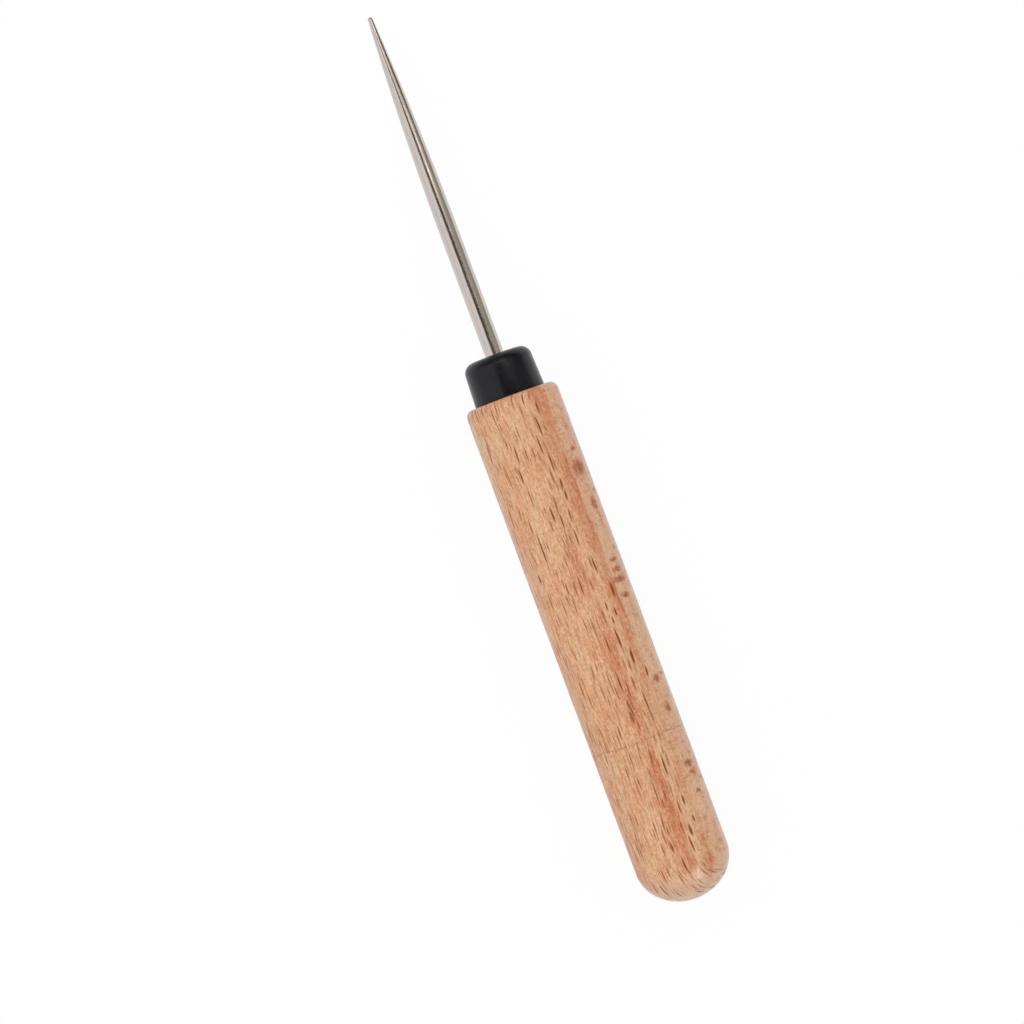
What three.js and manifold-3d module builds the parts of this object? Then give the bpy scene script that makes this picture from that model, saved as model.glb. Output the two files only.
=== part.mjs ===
// Leather awl: a turned beech handle, a moulded black collar and a steel blade with a ground point.
// It lies on its side as it would on a bench: +X runs towards the point and +Z is up.
// The origin is on the bench, under the middle of the awl's length.
// Along the awl itself, heights are measured from the handle's shoulder, where the collar seats.

import * as THREE from "three";
import { mergeVertices } from "three/addons/utils/BufferGeometryUtils.js";
import Module from "manifold-3d";

const wasm = await Module();
wasm.setup();

// Handle, in millimetres
const handleDiameter = 15;
const handleLength = 82.8; // from the shoulder to the end of the butt
const buttDepth = 6.6; // how far the rounded end reaches along the handle
const shoulderRoundWidth = 1; // across the shoulder
const shoulderRoundDepth = 1.4; // down the side

// Tenon, the turned-down end of the handle that the collar is pressed on
const tenonDiameter = 8.8;
const tenonLength = 5;
const tenonChamfer = 0.5;

// Collar, a moulded cup with a hole for the blade in its nose
const collarWall = 1.2; // at the mouth
const collarDraft = 0.3; // how much the wall leans in on each side, from mouth to nose
const noseThickness = 1.55; // of the end wall that the blade comes through
const noseRound = 1.6;
const mouthChamfer = 0.35;

// Blade, one length of round steel: point, shank and tang
const shankDiameter = 3;
const bladeReach = 55.75; // from the nose of the collar to the tip
const pointLength = 36; // the ground part
const tipDiameter = 0.8;
const tangDepth = 24; // below the shoulder
const tangChamfer = 0.5;

// Spade, the end of the tang, pressed flat so that it can't turn or pull out of the wood
const spadeWidth = 4.4;
const spadeLength = 6;
const spadeRunOut = 3.5; // where the flat part grows out of the round shank

// Clearances
const tenonClearance = 0.05; // between the tenon and the collar, on each side
const tenonEndGap = 0.3; // between the tenon's end and the bottom of the cup, for glue
const shankClearance = 0.05; // round the blade, in the collar and in the handle
const seatMargin = 0.1; // from the collar's rim to the open ring of the shoulder round it
const boreSpare = 1; // how much deeper the handle is drilled than the tang reaches
const drillPointAngle = 118; // degrees

// Smoothness of the round forms. The handle's count is a multiple of 4, so that it lies on a flat.
const turnedSides = 64;
const bladeSides = 32;
const arcSteps = 6;

const handleRadius = handleDiameter / 2;
const tenonRadius = tenonDiameter / 2;
const shankRadius = shankDiameter / 2;
const tipRadius = tipDiameter / 2;
const boreRadius = shankRadius + shankClearance;
const cupRadius = tenonRadius + tenonClearance;
const cupDepth = tenonLength + tenonEndGap;
const collarHeight = cupDepth + noseThickness;
const mouthRadius = cupRadius + collarWall;
const noseRadius = mouthRadius - collarDraft;
const tipHeight = collarHeight + bladeReach;
const quarterTurn = Math.PI / 2;

const beech = new THREE.MeshStandardMaterial({
  name: "beech",
  color: 0xd0a077,
  roughness: 0.5,
  metalness: 0,
});
const blackPlastic = new THREE.MeshStandardMaterial({
  name: "black_plastic",
  color: 0x1c1c1e,
  roughness: 0.42,
  metalness: 0,
});
const nickelledSteel = new THREE.MeshStandardMaterial({
  name: "nickelled_steel",
  color: 0xc4bdb2,
  roughness: 0.22,
  metalness: 1,
});

// Turns a profile of (radius, height) about the Y axis, with the flats of all turned pieces in line.
function turned(profile, sides = turnedSides) {
  return new THREE.LatheGeometry(profile.getPoints(arcSteps), sides, Math.PI / sides);
}

// Joins oval rings of the same count of points into one closed skin.
// A section holds its height and its half width and half thickness.
function lofted(sections, sides = bladeSides) {
  const positions = [];
  const faces = [];
  for (const { height, halfWidth, halfThickness } of sections) {
    for (let i = 0; i < sides; i++) {
      const angle = ((i + 0.5) / sides) * 2 * Math.PI;
      positions.push(halfWidth * Math.sin(angle), height, halfThickness * Math.cos(angle));
    }
  }
  for (let ring = 0; ring < sections.length - 1; ring++) {
    for (let i = 0; i < sides; i++) {
      const a = ring * sides + i;
      const b = ring * sides + ((i + 1) % sides);
      faces.push(a, b, a + sides, b, b + sides, a + sides);
    }
  }
  const bottom = positions.length / 3;
  const top = bottom + 1;
  positions.push(0, sections[0].height, 0, 0, sections.at(-1).height, 0);
  const lastRing = (sections.length - 1) * sides;
  for (let i = 0; i < sides; i++) {
    const next = (i + 1) % sides;
    faces.push(bottom, next, i);
    faces.push(top, lastRing + i, lastRing + next);
  }
  const geometry = new THREE.BufferGeometry();
  geometry.setAttribute("position", new THREE.Float32BufferAttribute(positions, 3));
  geometry.setIndex(faces);
  return geometry;
}

function solidFrom(geometry) {
  const bare = geometry.clone();
  bare.deleteAttribute("normal");
  bare.deleteAttribute("uv");
  const merged = mergeVertices(bare, 1e-4);
  return new wasm.Manifold(
    new wasm.Mesh({
      numProp: 3,
      vertProperties: merged.attributes.position.array,
      triVerts: new Uint32Array(merged.index.array),
    }),
  );
}

function geometryFrom(solid) {
  const mesh = solid.getMesh();
  const geometry = new THREE.BufferGeometry();
  geometry.setAttribute("position", new THREE.BufferAttribute(mesh.vertProperties, 3));
  geometry.setIndex(new THREE.BufferAttribute(mesh.triVerts, 1));
  geometry.computeVertexNormals();
  return geometry;
}

// Half the thickness of the spade, which keeps the area of the round bar that it is pressed from.
function spadeHalfThickness() {
  return (shankRadius * shankRadius) / (spadeWidth / 2);
}

// The handle as it comes off the lathe: butt, grip, shoulder and tenon.
function handleBlank() {
  const profile = new THREE.Path();
  const buttCentre = buttDepth - handleLength;
  const roundX = handleRadius - shoulderRoundWidth;
  const roundY = -shoulderRoundDepth;
  profile.moveTo(0, -handleLength);
  profile.absellipse(0, buttCentre, handleRadius, buttDepth, -quarterTurn, 0, false);
  profile.lineTo(handleRadius, roundY);
  profile.absellipse(roundX, roundY, shoulderRoundWidth, shoulderRoundDepth, 0, quarterTurn, false);
  profile.lineTo(mouthRadius + seatMargin, 0);
  profile.lineTo(tenonRadius, 0);
  profile.lineTo(tenonRadius, tenonLength - tenonChamfer);
  profile.lineTo(tenonRadius - tenonChamfer, tenonLength);
  profile.lineTo(0, tenonLength);
  return turned(profile);
}

// What the drill takes out of the handle, from above the tenon down to the cone that its point leaves.
function drilledBore() {
  const depth = tangDepth + boreSpare;
  const coneHeight = boreRadius / Math.tan(THREE.MathUtils.degToRad(drillPointAngle / 2));
  const profile = new THREE.Path();
  profile.moveTo(0, -depth - coneHeight);
  profile.lineTo(boreRadius, -depth);
  profile.lineTo(boreRadius, collarHeight);
  profile.lineTo(0, collarHeight);
  return turned(profile, bladeSides);
}

// The track that the spade cuts on its way down the bore.
function spadeTrack() {
  const halfWidth = spadeWidth / 2 + shankClearance;
  const halfThickness = spadeHalfThickness() + shankClearance;
  return lofted([
    { height: -tangDepth - shankClearance, halfWidth, halfThickness },
    { height: collarHeight, halfWidth, halfThickness },
  ]);
}

function handleGeometry() {
  const bored = solidFrom(handleBlank()).subtract(solidFrom(drilledBore()));
  return geometryFrom(bored.subtract(solidFrom(spadeTrack())));
}

// The collar: up the outside from the mouth, over the nose, down the blade's hole and round the cup.
function collarGeometry() {
  const lean = Math.atan2(collarDraft, collarHeight);
  const roundHeight = collarHeight - noseRound;
  const roundCentre = noseRadius - noseRound;
  const profile = new THREE.Path();
  profile.moveTo(mouthRadius, 0);
  profile.lineTo(roundCentre + noseRound * Math.cos(lean), roundHeight + noseRound * Math.sin(lean));
  profile.absarc(roundCentre, roundHeight, noseRound, lean, quarterTurn, false);
  profile.lineTo(boreRadius, collarHeight);
  profile.lineTo(boreRadius, cupDepth);
  profile.lineTo(cupRadius, cupDepth);
  profile.lineTo(cupRadius, mouthChamfer);
  profile.lineTo(cupRadius + mouthChamfer, 0);
  profile.lineTo(mouthRadius, 0);
  return turned(profile);
}

// The blade from the end of the tang to the tip.
function bladeGeometry() {
  const round = (height, radius) => ({ height, halfWidth: radius, halfThickness: radius });
  const sections = [];

  const spadeEnd = spadeLength - tangDepth;
  const flat = { halfWidth: spadeWidth / 2, halfThickness: spadeHalfThickness() };
  sections.push({
    height: -tangDepth,
    halfWidth: flat.halfWidth - tangChamfer,
    halfThickness: flat.halfThickness - tangChamfer,
  });
  sections.push({ height: -tangDepth + tangChamfer, ...flat });
  const runOutSteps = 8;
  for (let i = 0; i <= runOutSteps; i++) {
    const share = i / runOutSteps;
    const eased = THREE.MathUtils.smoothstep(share, 0, 1);
    const halfWidth = THREE.MathUtils.lerp(flat.halfWidth, shankRadius, eased);
    sections.push({
      height: spadeEnd + spadeRunOut * share,
      halfWidth,
      halfThickness: (shankRadius * shankRadius) / halfWidth,
    });
  }

  // The ground point is a parabola that leaves the shank without an edge, so it narrows ever faster.
  const pointStart = tipHeight - pointLength;
  const pointEnd = pointLength - tipRadius;
  const pointSteps = 20;
  for (let i = 0; i <= pointSteps; i++) {
    const along = (i / pointSteps) * pointEnd;
    const narrowed = (along / pointEnd) ** 2 * (shankRadius - tipRadius);
    sections.push(round(pointStart + along, shankRadius - narrowed));
  }
  const tipSteps = 3;
  for (let i = 1; i <= tipSteps; i++) {
    const angle = (i / (tipSteps + 1)) * quarterTurn;
    sections.push(round(tipHeight - tipRadius * (1 - Math.sin(angle)), tipRadius * Math.cos(angle)));
  }
  sections.push(round(tipHeight, tipRadius / 6));
  return lofted(sections);
}

function piece(name, geometry, material) {
  const mesh = new THREE.Mesh(geometry, material);
  mesh.name = name;
  return mesh;
}

// The awl's own axis is Y here, with the shoulder at 0 and the tip up.
const awl = new THREE.Group();
awl.add(piece("handle", handleGeometry(), beech));
awl.add(piece("collar", collarGeometry(), blackPlastic));
awl.add(piece("blade", bladeGeometry(), nickelledSteel));

// Laid down along X on one of the handle's flats, with its length centred on the origin.
awl.rotation.z = -quarterTurn;
awl.position.set((handleLength - tipHeight) / 2, 0, handleRadius * Math.cos(Math.PI / turnedSides));

const part = new THREE.Group();
part.add(awl);

export default part;
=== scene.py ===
from math import cos, degrees, pi, radians, sin, tan

import bmesh
import bpy
from mathutils import Euler, Matrix, Vector


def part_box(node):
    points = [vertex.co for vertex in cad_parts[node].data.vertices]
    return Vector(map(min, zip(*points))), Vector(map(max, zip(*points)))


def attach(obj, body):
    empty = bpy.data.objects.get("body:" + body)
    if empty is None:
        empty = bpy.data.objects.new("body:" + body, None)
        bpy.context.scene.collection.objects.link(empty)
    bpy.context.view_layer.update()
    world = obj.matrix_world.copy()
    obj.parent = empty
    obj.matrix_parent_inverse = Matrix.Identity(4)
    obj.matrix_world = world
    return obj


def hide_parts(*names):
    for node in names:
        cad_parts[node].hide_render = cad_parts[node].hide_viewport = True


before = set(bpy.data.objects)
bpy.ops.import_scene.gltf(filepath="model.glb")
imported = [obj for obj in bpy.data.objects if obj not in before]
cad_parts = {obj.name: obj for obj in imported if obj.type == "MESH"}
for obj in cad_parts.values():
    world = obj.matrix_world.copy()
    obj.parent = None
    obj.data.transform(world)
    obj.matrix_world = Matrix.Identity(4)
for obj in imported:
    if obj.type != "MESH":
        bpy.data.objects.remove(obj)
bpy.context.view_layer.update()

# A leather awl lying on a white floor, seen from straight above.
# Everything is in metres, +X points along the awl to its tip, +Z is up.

mm = 0.001
weld = 1e-7  # points nearer to each other than this are one
facet = 0.12 * mm  # about how long the straight steps of a rounding are

handleLow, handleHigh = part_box("handle")
collarLow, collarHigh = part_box("collar")
bladeLow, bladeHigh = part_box("blade")
axisHeight = (handleLow.z + handleHigh.z) / 2
shoulder = collarLow.x  # where the collar sits on the handle
nose = collarHigh.x


class Wire:
    # one socket of a shader tree: sums on wires add Math nodes, node() adds any other node
    def __init__(self, tree, socket=None):
        self.tree = tree
        self.socket = socket

    def node(self, kind, settings=None, sockets=None, output=0):
        made = self.tree.nodes.new(kind)
        for name, value in (settings or {}).items():
            setattr(made, name, value)
        for name, value in (sockets or {}).items():
            if isinstance(value, Wire):
                self.tree.links.new(value.socket, made.inputs[name])
            else:
                made.inputs[name].default_value = value
        return Wire(self.tree, made.outputs[output] if len(made.outputs) else None)

    def other(self, output):  # another output of the same node
        return Wire(self.tree, self.socket.node.outputs[output])

    def maths(self, operation, *values):
        return self.node("ShaderNodeMath", {"operation": operation}, dict(enumerate(values)))

    def vector(self, operation, *values, output=0):
        settings = {"operation": operation}
        return self.node("ShaderNodeVectorMath", settings, dict(enumerate(values)), output)

    def join(self, x, y, z):
        return self.node("ShaderNodeCombineXYZ", sockets={"X": x, "Y": y, "Z": z})

    def split(self, vector):
        parts = self.node("ShaderNodeSeparateXYZ", sockets={"Vector": vector})
        return parts, parts.other("Y"), parts.other("Z")

    def mix(self, factor, first, second):
        sockets = {0: factor, 6: first, 7: second}
        return self.node("ShaderNodeMix", {"data_type": "RGBA"}, sockets, 2)

    def fade(self, start, end, low=0.0, high=1.0):
        # eased from low to high as this wire goes from start to end
        sockets = {0: self, 1: start, 2: end, 3: low, 4: high}
        return self.node("ShaderNodeMapRange", {"interpolation_type": "SMOOTHSTEP"}, sockets)

    def within(self, start, fullFrom, fullTo, end):
        # 0 before start and past end, eased to 1 between the middle two
        return self.fade(start, fullFrom) * self.fade(end, fullTo)

    def fraction(self):
        return self.maths("FRACT", self)

    def least(self, value):
        return self.maths("MINIMUM", self, value)

    def most(self, value):
        return self.maths("MAXIMUM", self, value)

    def __add__(self, value):
        return self.maths("ADD", self, value)

    def __sub__(self, value):
        return self.maths("SUBTRACT", self, value)

    def __rsub__(self, value):
        return self.maths("SUBTRACT", value, self)

    def __mul__(self, value):
        return self.maths("MULTIPLY", self, value)

    def __truediv__(self, value):
        return self.maths("DIVIDE", self, value)

    def __rtruediv__(self, value):
        return self.maths("DIVIDE", value, self)

    def __pow__(self, value):
        return self.maths("POWER", self, value)

    def __abs__(self):
        return self.maths("ABSOLUTE", self)

    __radd__ = __add__
    __rmul__ = __mul__


def tone(red, green, blue):  # a colour as an image shows it, 0 to 255, made linear
    def linear(value):
        value /= 255
        return value / 12.92 if value <= 0.04045 else ((value + 0.055) / 1.055) ** 2.4

    return (linear(red), linear(green), linear(blue), 1.0)


def newMaterial(name):
    material = bpy.data.materials.new(name)
    material.use_nodes = True
    material.node_tree.nodes.clear()
    return material, Wire(material.node_tree)


def finishMaterial(graph, surface):
    graph.node("ShaderNodeOutputMaterial", sockets={"Surface": surface})


def noise(graph, vector, scale, detail=2.0, roughness=0.5, distortion=0.0):
    return graph.node("ShaderNodeTexNoise", sockets={
        "Vector": vector,
        "Scale": scale,
        "Detail": detail,
        "Roughness": roughness,
        "Distortion": distortion,
    })


def scaled(graph, vector, size):  # the same pattern space with the given sizes as its units
    return graph.vector("DIVIDE", vector, size)


def stretchedNoise(graph, vector, size, detail=2.0, roughness=0.5, offset=None):
    # noise whose clumps are as long as size says along each axis
    space = scaled(graph, vector, size)
    if offset:
        space = graph.vector("ADD", space, offset)
    return noise(graph, space, 1.0, detail, roughness)


def newPiece(name, bm, material, sharpAngle=35):
    bmesh.ops.remove_doubles(bm, verts=bm.verts, dist=weld)
    bmesh.ops.recalc_face_normals(bm, faces=bm.faces)
    mesh = bpy.data.meshes.new(name)
    bm.to_mesh(mesh)
    bm.free()
    for polygon in mesh.polygons:
        polygon.use_smooth = True
    mesh.set_sharp_from_angle(angle=radians(sharpAngle))
    mesh.materials.append(material)
    piece = bpy.data.objects.new(name, mesh)
    bpy.context.collection.objects.link(piece)
    return piece


def outline(corners, closed=False):
    # a wire outline above the awl's axis: each corner is (along, out, rounding), in metres
    bm = bmesh.new()
    rounding = bm.verts.layers.float.new("rounding")
    for along, out, radius in corners:
        corner = bm.verts.new((along, 0, axisHeight + out))
        corner[rounding] = radius
    bm.verts.ensure_lookup_table()
    count = len(bm.verts)
    for i in range(count if closed else count - 1):
        bm.edges.new((bm.verts[i], bm.verts[(i + 1) % count]))
    for radius in sorted({v[rounding] for v in bm.verts} - {0.0}):
        rounded = [v for v in bm.verts if v[rounding] == radius]
        for v in rounded:
            v[rounding] = 0
        bmesh.ops.bevel(
            bm, geom=rounded, offset=radius, offset_type="OFFSET", affect="VERTICES",
            segments=max(4, round(radius / facet)), profile=0.5, material=-1,
        )
    return bm


def turn(bm, steps):  # spins an outline right round the awl's axis
    bmesh.ops.spin(
        bm, geom=bm.verts[:] + bm.edges[:], cent=(0, 0, axisHeight), axis=(1, 0, 0),
        angle=2 * pi, steps=steps, use_merge=True,
    )


camera = {
    "along": -6.76 * mm,  # the point below the lens
    "across": 5.95 * mm,
    "height": 650 * mm,  # above the awl's axis
    "frameWidth": 158.5 * mm,  # what the picture takes in at the axis
    "turn": 110.36,  # degrees, from the picture's right round to the awl's tip
    "sensor": 36.0,  # mm across, which the lens is worked out for
    "nearest": 0.01,  # what is nearer or farther isn't seen
    "farthest": 10.0,
}


def addCamera():
    data = bpy.data.cameras.new("camera")
    data.sensor_width = camera["sensor"]
    data.lens = camera["sensor"] * camera["height"] / camera["frameWidth"]
    data.clip_start = camera["nearest"]
    data.clip_end = camera["farthest"]
    obj = bpy.data.objects.new("camera", data)
    obj.location = (camera["along"], camera["across"], axisHeight + camera["height"])
    obj.rotation_euler = (0, 0, -radians(camera["turn"]))
    bpy.context.collection.objects.link(obj)
    bpy.context.scene.camera = obj


addCamera()
print("camera set")


handle = {
    # a 15 mm rod, less what the solid's flats take off, so that it lies on the floor
    "radius": 7.49 * mm,
    "buttDepth": 6.6 * mm,
    "shoulderRoundWidth": 1 * mm,
    "shoulderRoundDepth": 1.4 * mm,
    "tenonRadius": 4.4 * mm,
    "tenonChamfer": 0.5 * mm,
    "boreRadius": 1.55 * mm,
    "boreSpare": 1 * mm,  # how much deeper the bore is than the blade reaches
    "trackWiden": 1.48,  # the bore is this much wider than high, to pass the flat end of the tang
    "drillPoint": 59,  # degrees, half the angle of the bore's end
    "longEdge": 20 * mm,  # the straight sides are longer than this, and get
    "sideRings": 24,  # this many rings, so that their faces aren't slivers
    "steps": 160,
}


def stretchRound(bm, end, inward, depth, wanted):
    # makes the rounding at one end of the handle reach further along it, from depth to wanted
    rounded = [v for v in bm.verts if 0 <= (v.co.x - end) * inward < depth * 1.001]
    toEnd = Matrix.Translation((-end, 0, 0))
    bmesh.ops.scale(bm, verts=rounded, vec=(wanted / depth, 1, 1), space=toEnd)


def handleMesh():
    butt, tenonEnd = handleLow.x, handleHigh.x
    boreEnd = bladeLow.x - handle["boreSpare"]
    coneEnd = boreEnd - handle["boreRadius"] / tan(radians(handle["drillPoint"]))
    bm = outline([
        (butt, 0, 0),
        (butt, handle["radius"], handle["radius"]),
        (shoulder, handle["radius"], handle["shoulderRoundWidth"]),
        (shoulder, handle["tenonRadius"], 0),
        (tenonEnd - handle["tenonChamfer"], handle["tenonRadius"], 0),
        (tenonEnd, handle["tenonRadius"] - handle["tenonChamfer"], 0),
        (tenonEnd, handle["boreRadius"], 0),
        (boreEnd, handle["boreRadius"], 0),
        (coneEnd, 0, 0),
    ])
    stretchRound(bm, butt, 1, handle["radius"], handle["buttDepth"])
    stretchRound(bm, shoulder, -1, handle["shoulderRoundWidth"], handle["shoulderRoundDepth"])
    sides = [e for e in bm.edges if e.calc_length() > handle["longEdge"]]
    bmesh.ops.subdivide_edges(bm, edges=sides, cuts=handle["sideRings"])
    turn(bm, handle["steps"])
    widest = handle["boreRadius"] + weld
    inside = [v for v in bm.verts if v.co.x > coneEnd - weld]
    bore = [v for v in inside if Vector((v.co.y, v.co.z - axisHeight)).length < widest]
    bmesh.ops.scale(bm, verts=bore, vec=(1, handle["trackWiden"], 1))
    return bm


beech = {
    "pithTurn": 35,  # degrees from the top to the side where the rings lie flat
    "pithDistance": 60.0,  # mm, from the awl's axis, beyond that side
    "tan": tone(224, 168, 123),
    "honey": tone(224, 177, 135),
    "pink": tone(218, 154, 111),
    "pale": tone(237, 200, 166),
    "brown": tone(150, 78, 10),
    "rust": tone(198, 104, 62),
    "ray": tone(134, 64, 12),
    "silver": tone(216, 176, 146),
    # painted sheen: a paler, cooler tone for the rounded butt, standing in for the soft reflection of
    # the light beyond it
    "paintedButtSheen": tone(220, 188, 165),
    "fleck": tone(156, 64, 30),
    "paintedButtSheenFrom": -77,  # mm from the shoulder, the butt grows paler from here: painted sheen for the soft reflection of the light beyond the butt
    "paintedButtSheenFull": -80,
    "paintedButtSheenDepth": 0.42,
    "fibreDepth": 0.34,  # how dark the fibres, pore lines and grit are
    "lineDepth": 0.3,
    "gritDepth": 0.34,
    "gloss": 0.42,  # roughness of the bare wood
    "polish": 0.95,  # how much of the surface the oil has closed
    "polishRoughness": 0.33,
    "bumpStrength": 0.4,
    # from here on sizes are in mm, and one of three numbers goes along the awl, along the rings
    # and across them
    "bumpDepth": 0.05,
    "ringWidth": 3.1,
    "ringShift": 0.53,  # of a ring
    "ringSway": 0.9,
    "edgeSway": 1.1,  # more of it at the edges of the darker bands
    "swaySize": (5, 2.5, 2.5),
    "bendSize": (9, 4, 4),
    "ringSwaySize": (22, 5, 5),
    "cloudSize": (11, 3.5, 3.5),
    "patchSize": (7, 2.2, 2.2),
    "blushSize": (7, 2, 2),
    "streakSize": (9, 0.5, 0.5),
    "lineSize": (7, 0.3, 0.3),
    "fibreSize": (2.6, 0.19, 0.19),
    "glintSize": (2, 0.22, 0.22),
    "gritSize": (0.45, 0.3, 0.3),
    "rippleSize": (0.6, 0.5, 1.6),
    "rayHeight": 2.4,  # of a placed ray, across the rings
    "fleckDepth": 1.0,  # of a placed fleck, into the wood
    "fleckStray": (1.2, 0.4, 2.2),  # how far the edges of the flecks stray
    "fleckStrayScale": 1.9,  # per mm
    # how soft marks are: where they begin to show and where they are full, 1 being their edge
    "markEdge": (1.5, 0.25),
    "darkMarkEdge": (1.45, 0.45),
    "sheathEdge": (2.6, 1.0),
    "fleckEdge": (1.5, 0.3),
    "spotEdge": (1.1, 0.4),
    # scattered marks: one in each cell of this spacing, and half the size of one
    "bigRays": {"spacing": (4.2, 0.8, 4.0), "halves": (1.7, 0.14, 1.9), "seed": 4.0},
    "smallRays": {"spacing": (2.8, 0.52, 2.8), "halves": (1.2, 0.11, 1.3), "seed": 12.0},
    "spots": {"spacing": (3.4, 1.6, 2.4), "halves": (0.45, 0.6, 0.9), "seed": 23.0},
    # bands of darker wood: how much nearer to the pith than the awl's axis they start, how thick,
    # from where to where on the handle
    "bands": [
        {"inwards": 1.0, "thick": 2.6, "slope": -0.01, "start": 8, "end": -26, "strength": 0.8},
        {"inwards": 1.1, "thick": 1.4, "slope": 0.0, "start": -24, "end": -46, "strength": 1.05},
        {"inwards": 4.9, "thick": 1.0, "slope": 0.0, "start": -26, "end": -34, "strength": 0.7},
        {"inwards": 4.6, "thick": 1.6, "slope": 0.0, "start": -40, "end": -82, "strength": 0.78},
        {"inwards": 1.9, "thick": 0.9, "slope": 0.0, "start": -77, "end": -95, "strength": 1.1},
    ],
    # turning marks, a hair deep: where on the handle, how strong
    "turningMarks": [(-21.6, 0.2), (-56.6, 0.45)],
    # marks that stand out: along from the shoulder, degrees round from the top, length and width
    "darkMarks": [
        (-1.1, 12, 2.3, 0.26), (-3.3, 27, 2.3, 0.36), (-5.9, 19, 3.8, 0.31), (-7.7, -55, 3.2, 0.25),
        (-8.8, 12.4, 3.3, 0.26), (-11.7, 16.7, 3.3, 0.33), (-12.3, -21, 2.8, 0.29),
        (-15.4, 19.8, 1.8, 0.36), (-17.3, 21, 1.8, 0.36), (-19.4, -2.2, 2.7, 0.36),
        (-20.8, 5.6, 2.7, 0.25), (-23.8, -28.7, 5.5, 0.31), (-24.0, 15.9, 2.9, 0.31),
        (-28.1, -47.4, 1.6, 0.41), (-28.8, 25.8, 2.8, 0.36), (-31.1, 0.4, 3.7, 0.25),
        (-33.3, 35.4, 2.7, 0.46), (-35.4, 20.4, 1.6, 0.31), (-36.7, 29.3, 1.5, 0.36),
        (-37.8, 22.5, 1.5, 0.31), (-40.7, 20, 3.8, 0.36), (-41.0, 5.8, 2.9, 0.25),
        (-44.0, 28.2, 2.9, 0.49), (-46.9, 40.3, 1.8, 0.52), (-50.7, 4.3, 1.7, 0.29),
        (-52.7, 2.7, 2.3, 0.36), (-51.1, 25.6, 3.8, 0.33), (-54.3, -18.4, 2.4, 0.29),
        (-61.4, 18.8, 3.8, 0.36), (-67.3, 26.8, 1.8, 0.41), (-70.5, 30.2, 1.3, 0.41),
        (-72.0, 21.4, 2.0, 0.46), (-73.5, -5.8, 2.0, 0.36), (-74.0, 16.8, 2.8, 0.33),
        (-76.8, 0, 3.0, 0.29), (-81.2, -4, 1.5, 0.44),
    ],
    "faintMarks": [
        (-2.2, -28.7, 3.7, 0.23), (-6.8, -25.7, 2.3, 0.23), (-9.5, -6.4, 2.8, 0.23),
        (-11.9, -38.2, 4.4, 0.23), (-15.8, -20.1, 4.1, 0.23), (-18.3, 5.1, 3.3, 0.25),
        (-33.5, -15, 3.7, 0.23), (-32.0, -43, 3.0, 0.25), (-46.7, -7.2, 3.9, 0.23),
        (-48.5, 11, 3.3, 0.23), (-55.7, -42.4, 2.8, 0.23), (-60.6, -26, 2.6, 0.25),
        (-64.9, -2.8, 4.4, 0.25), (-69.6, -6.6, 3.3, 0.25), (-69.9, -16.9, 3.0, 0.25),
        (-77.0, -21.9, 2.3, 0.25),
    ],
    # reddish flecks where the rays show their broad side: the last size is how far they reach round
    "flecks": [
        (-10.9, 57, 0.9, 1.2), (-13.9, 54.5, 2.9, 3.4), (-19.9, 57.5, 2.0, 1.3), (-29.1, 55, 0.9, 1.6),
        (-30.7, 55, 1.0, 2.2), (-32.2, 53.5, 1.2, 3.4), (-34.8, 52.7, 0.9, 2.0),
        (-48.5, 53.3, 1.3, 1.7), (-53.2, 55.5, 1.6, 1.3), (-62.4, 54.3, 1.1, 2.3),
        (-63.9, 55.6, 0.8, 1.4), (-66.9, 53.5, 0.8, 1.4),
    ],
}


def scatteredMarks(graph, grain, marks):
    # ovals, one in each cell of a stretched Voronoi pattern: how far out of the nearest one a point is,
    # 1 being its edge, and how dark that one is. Their size and darkness differ by chance.
    seed = marks["seed"]
    cells = graph.vector("ADD", scaled(graph, grain, marks["spacing"]), (seed, seed * 1.7, seed * 2.3))
    sockets = {"Vector": cells, "Scale": 1.0}
    found = graph.node("ShaderNodeTexVoronoi", {"feature": "F1"}, sockets, "Position")
    chance = graph.node("ShaderNodeSeparateColor", sockets={"Color": found.other("Color")})
    away = graph.vector("MULTIPLY", graph.vector("SUBTRACT", cells, found), marks["spacing"])
    reach = graph.vector("LENGTH", graph.vector("DIVIDE", away, marks["halves"]), output="Value")
    size = 0.5 + chance * 0.7
    shade = chance.other("Green").fade(0.1, 0.9, 0.3, 1.0)
    return reach / size, shade


def placedMarks(graph, grain, marks, radius, areFlecks=False):
    # how far out of the nearest mark of a list a point is, 1 being its edge
    # a mark is an oval: a fleck lies on the quarter, and any other is a thin sheet across the rings
    nearest = None
    for along, around, length, width in marks:
        turned = radians(around + beech["pithTurn"])
        centre = Vector((along, -radius * sin(turned), radius * cos(turned)))
        if areFlecks:
            size = (length, beech["fleckDepth"], width)
        else:
            size = (length, width * max(cos(turned), 0.2), beech["rayHeight"])
        gain = Vector([2 / side for side in size])
        reach = graph.vector("MULTIPLY_ADD", grain, gain, -centre * gain)
        distance = graph.vector("LENGTH", reach, output="Value")
        nearest = distance if nearest is None else nearest.least(distance)
    return nearest


def redBands(inwards, along):
    # how much of the bands of darker wood shows at a point
    # a band has a sharp edge on the side of the bark, and fades out slowly towards the pith
    bands = None
    for band in beech["bands"]:
        height = inwards - along * band["slope"] - band["inwards"]
        inside = height.within(-0.12, 0.15, band["thick"] * 0.4, band["thick"] + 1.2)
        start, end = band["start"], band["end"]
        lengthways = along.within(end - 4, end + 8, start - 2, start + 6)
        shade = inside * lengthways * band["strength"]
        bands = shade if bands is None else bands.most(shade)
    return bands


def turningLines(along):
    lines = None
    for where, strength in beech["turningMarks"]:
        line = abs(along - where).fade(0.2, 0.05) * strength
        lines = line if lines is None else lines + line
    return lines


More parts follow.
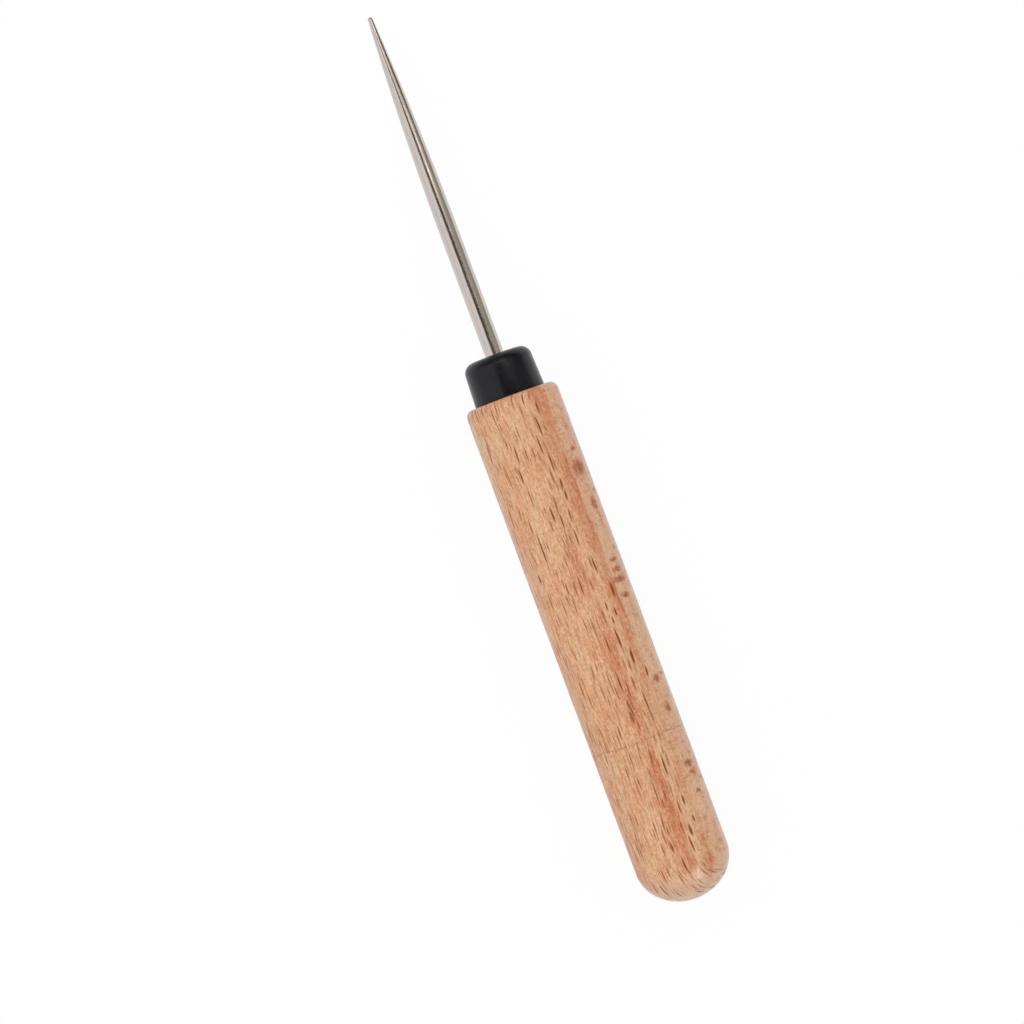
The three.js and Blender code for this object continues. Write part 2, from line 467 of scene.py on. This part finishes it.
def beechMaterial():
    material, graph = newMaterial("beech")
    place = graph.node("ShaderNodeTexCoord", output="Object")
    # grain, in mm: x along the awl from the shoulder, y along the rings, z across them to the pith
    turned = (radians(beech["pithTurn"]), 0, 0)
    grain = graph.node("ShaderNodeMapping", {"vector_type": "POINT"}, {
        "Vector": place,
        "Location": Euler(turned).to_matrix() @ Vector((-shoulder, 0, -axisHeight)) / mm,
        "Rotation": turned,
        "Scale": (1 / mm,) * 3,
    })
    along, sideways, pithwards = graph.split(grain)
    radius = handle["radius"] / mm
    # 0 where the rings lie flat and 1 on the quarter, where the rays show their broad side
    quarter = (abs(sideways) / radius).fade(0.8, 1.0)

    # nothing in wood is quite straight: the pattern sways a little on its way along
    sway = stretchedNoise(graph, grain, beech["swaySize"], 3.0, 0.6) - 0.5
    bend = stretchedNoise(graph, grain, beech["bendSize"], 1.0) - 0.5
    bent = graph.vector("ADD", grain, graph.join(0, bend * 0.6, bend * 0.4))
    stray = noise(graph, grain, beech["fleckStrayScale"], 3.0, 0.6).other("Color")
    stray = graph.vector("SUBTRACT", stray, (0.5,) * 3)
    ragged = graph.vector("ADD", bent, graph.vector("MULTIPLY", stray, beech["fleckStray"]))

    # how much nearer to the pith the ring at a point is than the one through the awl's axis
    fromPith = (sideways * sideways + (beech["pithDistance"] - pithwards) ** 2) ** 0.5
    ringSway = (stretchedNoise(graph, grain, beech["ringSwaySize"]) - 0.5) * beech["ringSway"]
    inwards = beech["pithDistance"] - fromPith + ringSway

    clouds = stretchedNoise(graph, grain, beech["cloudSize"])
    patches = stretchedNoise(graph, grain, beech["patchSize"], offset=(4, 9, 2))
    blush = stretchedNoise(graph, bent, beech["blushSize"])
    streaks = stretchedNoise(graph, bent, beech["streakSize"], 3.0, 0.6)
    lines = stretchedNoise(graph, bent, beech["lineSize"])
    fibres = stretchedNoise(graph, bent, beech["fibreSize"], 3.0, 0.65)
    glints = stretchedNoise(graph, bent, beech["glintSize"], 3.0, 0.65, (7, 3, 5))
    grit = stretchedNoise(graph, bent, beech["gritSize"], 2.0, 0.6)

    late = redBands(inwards + sway * beech["edgeSway"], along)
    late = late * patches.fade(0.38, 0.56, 0.4, 1.0) * streaks.fade(0.3, 0.6, 0.6, 0.95)
    late = late * grit.fade(0.3, 0.6, 0.8, 1.0)
    rings = (inwards / beech["ringWidth"] + beech["ringShift"]).fraction().fade(0.6, 0.0, 0.0, 0.25)

    dark = placedMarks(graph, bent, beech["darkMarks"], radius)
    faint = placedMarks(graph, bent, beech["faintMarks"], radius)
    big, bigShade = scatteredMarks(graph, bent, beech["bigRays"])
    small, smallShade = scatteredMarks(graph, bent, beech["smallRays"])
    rays = big.fade(*beech["markEdge"]) * bigShade
    rays = rays.most(small.fade(*beech["markEdge"]) * smallShade * 0.9) * (1 - quarter)
    rays = rays.most(dark.fade(*beech["darkMarkEdge"])).most(faint.fade(*beech["markEdge"]) * 0.9)
    rays = rays * glints.fade(0.3, 0.6, 0.75, 1.0)
    # the wood beside a ray is a shade paler
    sheath = dark.fade(*beech["sheathEdge"]).most(big.fade(*beech["sheathEdge"]) * bigShade * 0.8)
    sheath = sheath.most(faint.fade(*beech["sheathEdge"]) * 0.6)
    # and on the quarter the rays lie open, as short pale ripples across the grain
    ripples = stretchedNoise(graph, bent, beech["rippleSize"], 3.0, 0.6)
    flecks = placedMarks(graph, ragged, beech["flecks"], radius, areFlecks=True)
    flecks = flecks.fade(*beech["fleckEdge"])
    spots, spotShade = scatteredMarks(graph, ragged, beech["spots"])
    farSide = quarter * sideways.fade(-2, 2).most(pithwards.fade(0.5, -1.5))
    flecks = flecks.most(spots.fade(*beech["spotEdge"]) * spotShade * farSide)
    flecks = flecks * fibres.fade(0.3, 0.6, 0.7, 1.0)
    turning = turningLines(along + sway * 0.8) * streaks.fade(0.35, 0.55)

    colour = graph.mix(clouds.fade(0.35, 0.65), beech["tan"], beech["honey"])
    colour = graph.mix(blush.fade(0.42, 0.62) * 0.85, colour, beech["pink"])
    colour = graph.mix(rings, colour, beech["rust"])
    colour = graph.mix(late, colour, beech["rust"])
    colour = graph.mix(fibres.fade(0.43, 0.68) * beech["fibreDepth"], colour, beech["brown"])
    colour = graph.mix(lines.fade(0.5, 0.75) * beech["lineDepth"], colour, beech["brown"])
    colour = graph.mix(grit.fade(0.46, 0.7) * beech["gritDepth"], colour, beech["brown"])
    glow = (glints.fade(0.48, 0.7) * 0.6).most(sheath * 0.4).most(grit.fade(0.5, 0.3) * 0.55)
    colour = graph.mix(glow * (1 - late * 0.6), colour, beech["pale"])
    colour = graph.mix(ripples.fade(0.42, 0.65) * quarter * (0.5 - late * 0.5), colour, beech["silver"])
    colour = graph.mix(ripples.fade(0.46, 0.3) * quarter * 0.3, colour, beech["brown"])
    # painted sheen: the butt is made paler and cooler towards its end, where the light beyond it would
    # shine softly on it
    paintedButtSheen = along.fade(beech["paintedButtSheenFrom"], beech["paintedButtSheenFull"], 0.0, beech["paintedButtSheenDepth"])
    colour = graph.mix(paintedButtSheen, colour, beech["paintedButtSheen"])
    colour = graph.mix(turning, colour, beech["brown"])
    colour = graph.mix(flecks * 0.8, colour, beech["fleck"])
    colour = graph.mix(rays, colour, beech["ray"])

    dips = rays * 0.6 + fibres * 0.4 + grit * 0.6
    sockets = {"Strength": beech["bumpStrength"], "Distance": beech["bumpDepth"] * mm, "Height": dips}
    bump = graph.node("ShaderNodeBump", {"invert": True}, sockets)
    roughness = fibres.fade(0.2, 0.8, beech["gloss"] - 0.05, beech["gloss"] + 0.07) + rays * 0.2
    surface = graph.node("ShaderNodeBsdfPrincipled", sockets={
        "Base Color": colour,
        "Roughness": roughness,
        "IOR": 1.45,
        "Specular IOR Level": 0.1,
        "Normal": bump,
        "Coat Weight": (1 - rays.most(flecks)) * beech["polish"],
        "Coat Roughness": beech["polishRoughness"],
        "Coat IOR": 1.45,
    })
    finishMaterial(graph, surface)
    return material


handlePiece = newPiece("handle_wood", handleMesh(), beechMaterial())
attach(handlePiece, "root")
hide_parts("handle")
print("handle made")


collar = {
    "mouthRadius": 5.65 * mm,
    "noseRadius": 5.35 * mm,
    "noseRound": 1.6 * mm,
    "cupRadius": 4.45 * mm,
    "cupDepth": 5.3 * mm,
    "holeRadius": 1.55 * mm,
    "edge": 0.14 * mm,
    "mouthChamfer": 0.35 * mm,
    "steps": 128,
}


def collarMesh():
    bm = outline([
        (shoulder, collar["mouthRadius"], collar["edge"]),
        (nose, collar["noseRadius"], collar["noseRound"]),
        (nose, collar["holeRadius"], collar["edge"]),
        (shoulder + collar["cupDepth"], collar["holeRadius"], 0),
        (shoulder + collar["cupDepth"], collar["cupRadius"], 0),
        (shoulder + collar["mouthChamfer"], collar["cupRadius"], 0),
        (shoulder, collar["cupRadius"] + collar["mouthChamfer"], 0),
    ], closed=True)
    turn(bm, collar["steps"])
    return bm


plastic = {
    # bluish black: the plastic's own dark tone, and part of the blue is painted sheen, standing in for
    # the bluish tint of its reflections
    "black": (0.0045, 0.0046, 0.0085, 1.0),
    "dust": (0.06, 0.06, 0.065, 1.0),
    "scuffDepth": 2.2,  # mm, how far behind the nose the scuffs reach
    "scuffSize": (0.22, 0.9, 0.9),
    "skinScale": 5.0,  # per mm, as the two below
    "flowScale": 0.7,
    "speckScale": 3.1,
    "roughness": 0.27,
    "bumpStrength": 0.25,
    "bumpDepth": 0.01,  # mm
}


def plasticMaterial():
    material, graph = newMaterial("black_plastic")
    place = scaled(graph, graph.node("ShaderNodeTexCoord", output="Object"), (mm,) * 3)
    skin = noise(graph, place, plastic["skinScale"], 3.0, 0.6)
    flow = noise(graph, place, plastic["flowScale"])
    specks = noise(graph, place, plastic["speckScale"], 4.0, 0.75).fade(0.66, 0.74)
    # short scuffs that run round the nose, where it meets the leather
    along = graph.split(place)[0]
    scuffs = noise(graph, scaled(graph, place, plastic["scuffSize"]), 1.0, 3.0, 0.65, 0.8)
    scuffs = scuffs.fade(0.6, 0.68) * along.fade(nose / mm - plastic["scuffDepth"], nose / mm - 1)
    wear = (specks * 0.5).most(scuffs * 0.6)
    colour = graph.mix(wear, plastic["black"], plastic["dust"])
    roughness = flow.fade(0.3, 0.7, plastic["roughness"] - 0.05, plastic["roughness"] + 0.06)
    roughness = roughness + wear * 0.3
    bump = graph.node("ShaderNodeBump", sockets={
        "Strength": plastic["bumpStrength"],
        "Distance": plastic["bumpDepth"] * mm,
        "Height": skin + wear * 2,
    })
    surface = graph.node("ShaderNodeBsdfPrincipled", sockets={
        "Base Color": colour,
        "Roughness": roughness,
        "Normal": bump,
        "IOR": 1.37,
    })
    finishMaterial(graph, surface)
    return material


collarPiece = newPiece("collar_plastic", collarMesh(), plasticMaterial(), sharpAngle=50)
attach(collarPiece, "root")
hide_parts("collar")
print("collar made")


blade = {
    "radius": 1.5 * mm,
    "tipRadius": 0.4 * mm,
    "pointLength": 36 * mm,
    "pointRings": 60,
    "spadeHalfWidth": 2.2 * mm,
    "spadeLength": 6 * mm,
    "spadeRunOut": 3.5 * mm,
    "tangChamfer": 0.5 * mm,
    "runOutRings": 12,
    "shankRings": 12,
    "tipRings": 8,
    "sides": 96,
}


def bladeSections():
    # (along, half width, half thickness), from the end of the tang to the tip
    spadeHalf = blade["radius"] ** 2 / blade["spadeHalfWidth"]
    start, tip = bladeLow.x, bladeHigh.x
    cut = blade["tangChamfer"]
    sections = [
        (start, blade["spadeHalfWidth"] - cut, spadeHalf - cut),
        (start + cut, blade["spadeHalfWidth"], spadeHalf),
    ]
    spadeEnd = start + blade["spadeLength"]
    for i in range(blade["runOutRings"] + 1):
        share = i / blade["runOutRings"]
        eased = share * share * (3 - 2 * share)
        width = blade["spadeHalfWidth"] + (blade["radius"] - blade["spadeHalfWidth"]) * eased
        sections.append((spadeEnd + blade["spadeRunOut"] * share, width, blade["radius"] ** 2 / width))
    pointStart = tip - blade["pointLength"]
    shankEnd = sections[-1][0]
    for i in range(1, blade["shankRings"]):
        along = shankEnd + (pointStart - shankEnd) * i / blade["shankRings"]
        sections.append((along, blade["radius"], blade["radius"]))
    ground = blade["pointLength"] - blade["tipRadius"]
    for i in range(blade["pointRings"] + 1):
        share = i / blade["pointRings"]
        radius = blade["radius"] - (blade["radius"] - blade["tipRadius"]) * share**2
        sections.append((pointStart + ground * share, radius, radius))
    for i in range(1, blade["tipRings"]):
        angle = i / blade["tipRings"] * pi / 2
        radius = blade["tipRadius"] * cos(angle)
        sections.append((tip - blade["tipRadius"] * (1 - sin(angle)), radius, radius))
    return sections


def bladeMesh():
    bm = bmesh.new()
    sections = bladeSections()
    upright = Matrix.Translation((sections[0][0], 0, axisHeight)) @ Matrix.Rotation(pi / 2, 4, "Y")
    bmesh.ops.create_circle(bm, cap_ends=True, segments=blade["sides"], radius=1.0, matrix=upright)
    bm.faces.ensure_lookup_table()
    end = bm.faces[0]
    toAxis = Matrix.Translation((0, 0, -axisHeight))
    before = (sections[0][0], 1.0, 1.0)
    for section in sections:
        if section is not sections[0]:
            grown = bmesh.ops.extrude_face_region(bm, geom=[end])["geom"]
            end = next(g for g in grown if isinstance(g, bmesh.types.BMFace))
        ratio = (1, section[1] / before[1], section[2] / before[2])
        bmesh.ops.scale(bm, verts=end.verts[:], vec=ratio, space=toAxis)
        bmesh.ops.translate(bm, verts=end.verts[:], vec=(section[0] - before[0], 0, 0))
        before = section
    bmesh.ops.pointmerge(bm, verts=end.verts[:], merge_co=(bladeHigh.x, 0, axisHeight))
    return bm


steel = {
    "nickel": (0.63, 0.572, 0.533, 1.0),
    "dark": (0.3, 0.26, 0.23, 1.0),
    "roughness": 0.13,
    "groundFrom": (bladeHigh.x - blade["pointLength"]) / mm,
    "drawnSize": (3.0, 0.09, 0.09),  # mm, of the marks along the bar
    "groundSize": (0.13, 1.2, 1.2),  # and of those round the point
    "cloudScale": 0.6,  # per mm
    "pitScale": 2.6,
    "bumpStrength": 0.2,
    "bumpDepth": 0.004,  # mm
}


def steelMaterial():
    material, graph = newMaterial("nickelled_steel")
    place = scaled(graph, graph.node("ShaderNodeTexCoord", output="Object"), (mm,) * 3)
    drawn = stretchedNoise(graph, place, steel["drawnSize"], 3.0, 0.6)
    clouds = noise(graph, place, steel["cloudScale"], 3.0, 0.6)
    pits = noise(graph, place, steel["pitScale"], 2.0, 0.6).fade(0.72, 0.78)
    # the point is ground, so fine marks run round it
    point = graph.split(place)[0].fade(steel["groundFrom"] - 2, steel["groundFrom"] + 3)
    ground = stretchedNoise(graph, place, steel["groundSize"], 3.0, 0.7) * point
    colour = graph.mix(drawn.fade(0.4, 0.75) * 0.3 + pits * 0.6, steel["nickel"], steel["dark"])
    roughness = drawn.fade(0.3, 0.8, steel["roughness"] - 0.03, steel["roughness"] + 0.08)
    roughness = roughness + clouds.fade(0.4, 0.7) * 0.05
    bump = graph.node("ShaderNodeBump", sockets={
        "Strength": steel["bumpStrength"],
        "Distance": steel["bumpDepth"] * mm,
        "Height": drawn + ground * 0.5,
    })
    surface = graph.node("ShaderNodeBsdfPrincipled", sockets={
        "Base Color": colour,
        "Metallic": 1.0,
        "Roughness": roughness,
        "Normal": bump,
    })
    finishMaterial(graph, surface)
    return material


bladePiece = newPiece("blade_steel", bladeMesh(), steelMaterial(), sharpAngle=40)
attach(bladePiece, "root")
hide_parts("blade")
print("blade made")


studio = {
    "floorSize": 3.0,
    "floorColour": (0.93, 0.93, 0.93, 1.0),
    "floorGlow": 0.94,  # how much of the floor's white is seen whatever falls on it
    "fillAbove": 0.92,  # light from straight above
    "fillAside": 0.28,  # and from the sides
    "key": 2.6,  # watts of the soft lamp
    "keySize": 0.6,
    "keyPlace": (0.1, 0.16, 0.9),
}

# What polished surfaces see round the awl.
# Around is in degrees from straight up, towards the picture's right.
# Ahead is how far a direction leans towards the tip, from -1 to 1: seen from the camera, the shank
# shows about 0.04 to 0.07 of it, and the point 0.07 to 0.25.
# Four numbers of either are where a patch starts, is full, is full no longer and ends.
# Fades have two numbers, a start and an end, or two more for what they go from and to.
walls = {
    "leftLow": (0.9, 0.89, 0.88, 1.0),
    "left": (1.0, 0.99, 0.98, 1.0),
    "leftRise": (-85, -35),
    "narrowAhead": (0.1, 0.14),  # the point shows the lens narrower than the shank
    "lens": (0.09, 0.07, 0.06, 1.0),
    "lensOnShank": (-20, 30),
    "lensOnPoint": (-14, 12),
    "lensEdges": (6, 4, 6),  # how soft: inside its start, inside its end, outside its end
    "lensAhead": (0.26, 0.2, 0.1, 1.0),
    "rightOnShank": (0.42, 0.395, 0.355, 1.0),
    "rightOnPoint": (0.46, 0.435, 0.39, 1.0),
    "slit": (0.85, 0.81, 0.74, 1.0),
    "slitAround": (8, 16, 36, 62),
    "slitAhead": (0.1, 0.115, 0.24, 0.3),
    "slitDims": (0.115, 0.15, 1.0, 0.2),  # from full to a fifth on this way ahead
    "strip": (2.6, 2.5, 2.3, 1.0),
    "stripAround": (9, 16, 23, 34),
    "stripAhead": (0.091, 0.099, 0.12, 0.19),
    "stripLeans": (0.095, 0.18, 0, 20),  # by 20 degrees on this way ahead
    "tipStripAround": (8, 14, 24, 34),
    "tipStripAhead": (0.205, 0.225, 0.0, 0.9),
    "dark": (0.03, 0.025, 0.02, 1.0),
    "darkAround": (56, 66, 90, 100),
    "darkAhead": (0.12, 0.18),
    "darkWidens": (0.19, 0.21, 0, 9),  # its start, by 9 degrees on this way ahead
    "ends": (0.1, 0.1, 0.1, 1.0),
    "tipEndAhead": (0.28, 0.75, 0, 0.75),
    "buttEndAhead": (-0.5, -0.9, 0, 0.7),
    "sheen": (2.2, 2.4, 2.7, 1.0),
    "sheenAhead": (-0.4, -0.65),
    "sheenUp": (0.2, 0.4, 0.65, 0.8),
    "window": (5.4, 5.9, 6.6, 1.0),
    "windowPlace": (-0.825, -0.29, 0.485),
    "windowReach": (0.34, 0.18),
}


def seenRays(graph):
    path = graph.node("ShaderNodeLightPath", output="Is Camera Ray")
    return path.most(path.other("Is Glossy Ray")).most(path.other("Is Transmission Ray"))


def addFloor():
    bm = bmesh.new()
    bmesh.ops.create_grid(bm, x_segments=1, y_segments=1, size=studio["floorSize"] / 2)
    material, graph = newMaterial("floor_white")
    matt = graph.node("ShaderNodeBsdfDiffuse", sockets={"Color": studio["floorColour"]})
    glow = graph.node("ShaderNodeEmission", sockets={"Color": (1, 1, 1, 1), "Strength": 1.0})
    factor = seenRays(graph) * studio["floorGlow"]
    finishMaterial(graph, graph.node("ShaderNodeMixShader", sockets={0: factor, 1: matt, 2: glow}))
    floor = newPiece("floor", bm, material)


def polishedView(graph, direction):
    ahead, left, up = graph.split(direction)
    around = graph.maths("ARCTAN2", left * -1, up) * degrees(1)

    # a bright wall on the left, the dark round the lens and a grey wall on the right
    narrow = ahead.fade(*walls["narrowAhead"])
    shankStart, shankEnd = walls["lensOnShank"]
    pointStart, pointEnd = walls["lensOnPoint"]
    startInside, endInside, endOutside = walls["lensEdges"]
    start = shankStart + narrow * (pointStart - shankStart)
    end = shankEnd + narrow * (pointEnd - shankEnd)
    lens = around.within(start, start + startInside, end - endInside, end + endOutside)
    lens = lens * ahead.fade(*walls["lensAhead"])
    right = around.fade(end - endInside, end + endOutside)
    view = graph.mix(around.fade(*walls["leftRise"]), walls["leftLow"], walls["left"])
    view = graph.mix(right, view, graph.mix(narrow, walls["rightOnShank"], walls["rightOnPoint"]))
    view = graph.mix(lens, view, walls["lens"])

    # along the point, a slit of light, a bright strip that leans, and a dark edge on the right
    slit = around.within(*walls["slitAround"]) * ahead.within(*walls["slitAhead"])
    view = graph.mix(slit * ahead.fade(*walls["slitDims"]), view, walls["slit"])
    leaning = around - ahead.fade(*walls["stripLeans"])
    strip = leaning.within(*walls["stripAround"]) * ahead.within(*walls["stripAhead"])
    tipStrip = around.within(*walls["tipStripAround"]) * ahead.fade(*walls["tipStripAhead"])
    view = graph.mix(strip.most(tipStrip), view, walls["strip"])
    darkStart, darkFrom, darkTo, darkEnd = walls["darkAround"]
    widened = around + ahead.fade(*walls["darkWidens"])
    dark = widened.fade(darkStart, darkFrom) * around.fade(darkEnd, darkTo)
    view = graph.mix(dark * ahead.fade(*walls["darkAhead"]), view, walls["dark"])

    # dark ends to the room, with a soft sheen and a window beyond the butt
    view = graph.mix(ahead.fade(*walls["tipEndAhead"]), view, walls["ends"])
    view = graph.mix(ahead.fade(*walls["buttEndAhead"]), view, walls["ends"])
    sheen = ahead.fade(*walls["sheenAhead"]) * up.within(*walls["sheenUp"])
    view = graph.mix(sheen, view, walls["sheen"])
    fromWindow = graph.vector("DISTANCE", direction, walls["windowPlace"], output="Value")
    return graph.mix(fromWindow.fade(*walls["windowReach"]), view, walls["window"])


def addWorld():
    world = bpy.data.worlds.new("studio")
    bpy.context.scene.world = world
    world.use_nodes = True
    world.node_tree.nodes.clear()
    graph = Wire(world.node_tree)
    direction = graph.node("ShaderNodeTexCoord", output="Generated")
    view = polishedView(graph, direction)
    up = graph.split(direction)[2]
    fill = up.fade(0.0, 0.9, studio["fillAside"], studio["fillAbove"])
    path = graph.node("ShaderNodeLightPath", output="Is Camera Ray")
    lit = graph.mix(path.other("Is Glossy Ray"), graph.join(fill, fill, fill), view)
    shown = graph.mix(path.most(path.other("Is Transmission Ray")), lit, (1, 1, 1, 1))
    background = graph.node("ShaderNodeBackground", sockets={"Color": shown, "Strength": 1.0})
    graph.node("ShaderNodeOutputWorld", sockets={"Surface": background})


def addKeyLight():
    data = bpy.data.lights.new("key", "AREA")
    data.shape = "DISK"
    data.size = studio["keySize"]
    data.energy = studio["key"]
    lamp = bpy.data.objects.new("key", data)
    lamp.location = studio["keyPlace"]
    lamp.rotation_euler = (-Vector(studio["keyPlace"])).to_track_quat("-Z", "Y").to_euler()
    lamp.visible_glossy = False  # the metal sees the walls instead
    bpy.context.collection.objects.link(lamp)


addFloor()
addWorld()
addKeyLight()
bpy.context.scene.view_settings.view_transform = "Standard"
print("floor and light set")
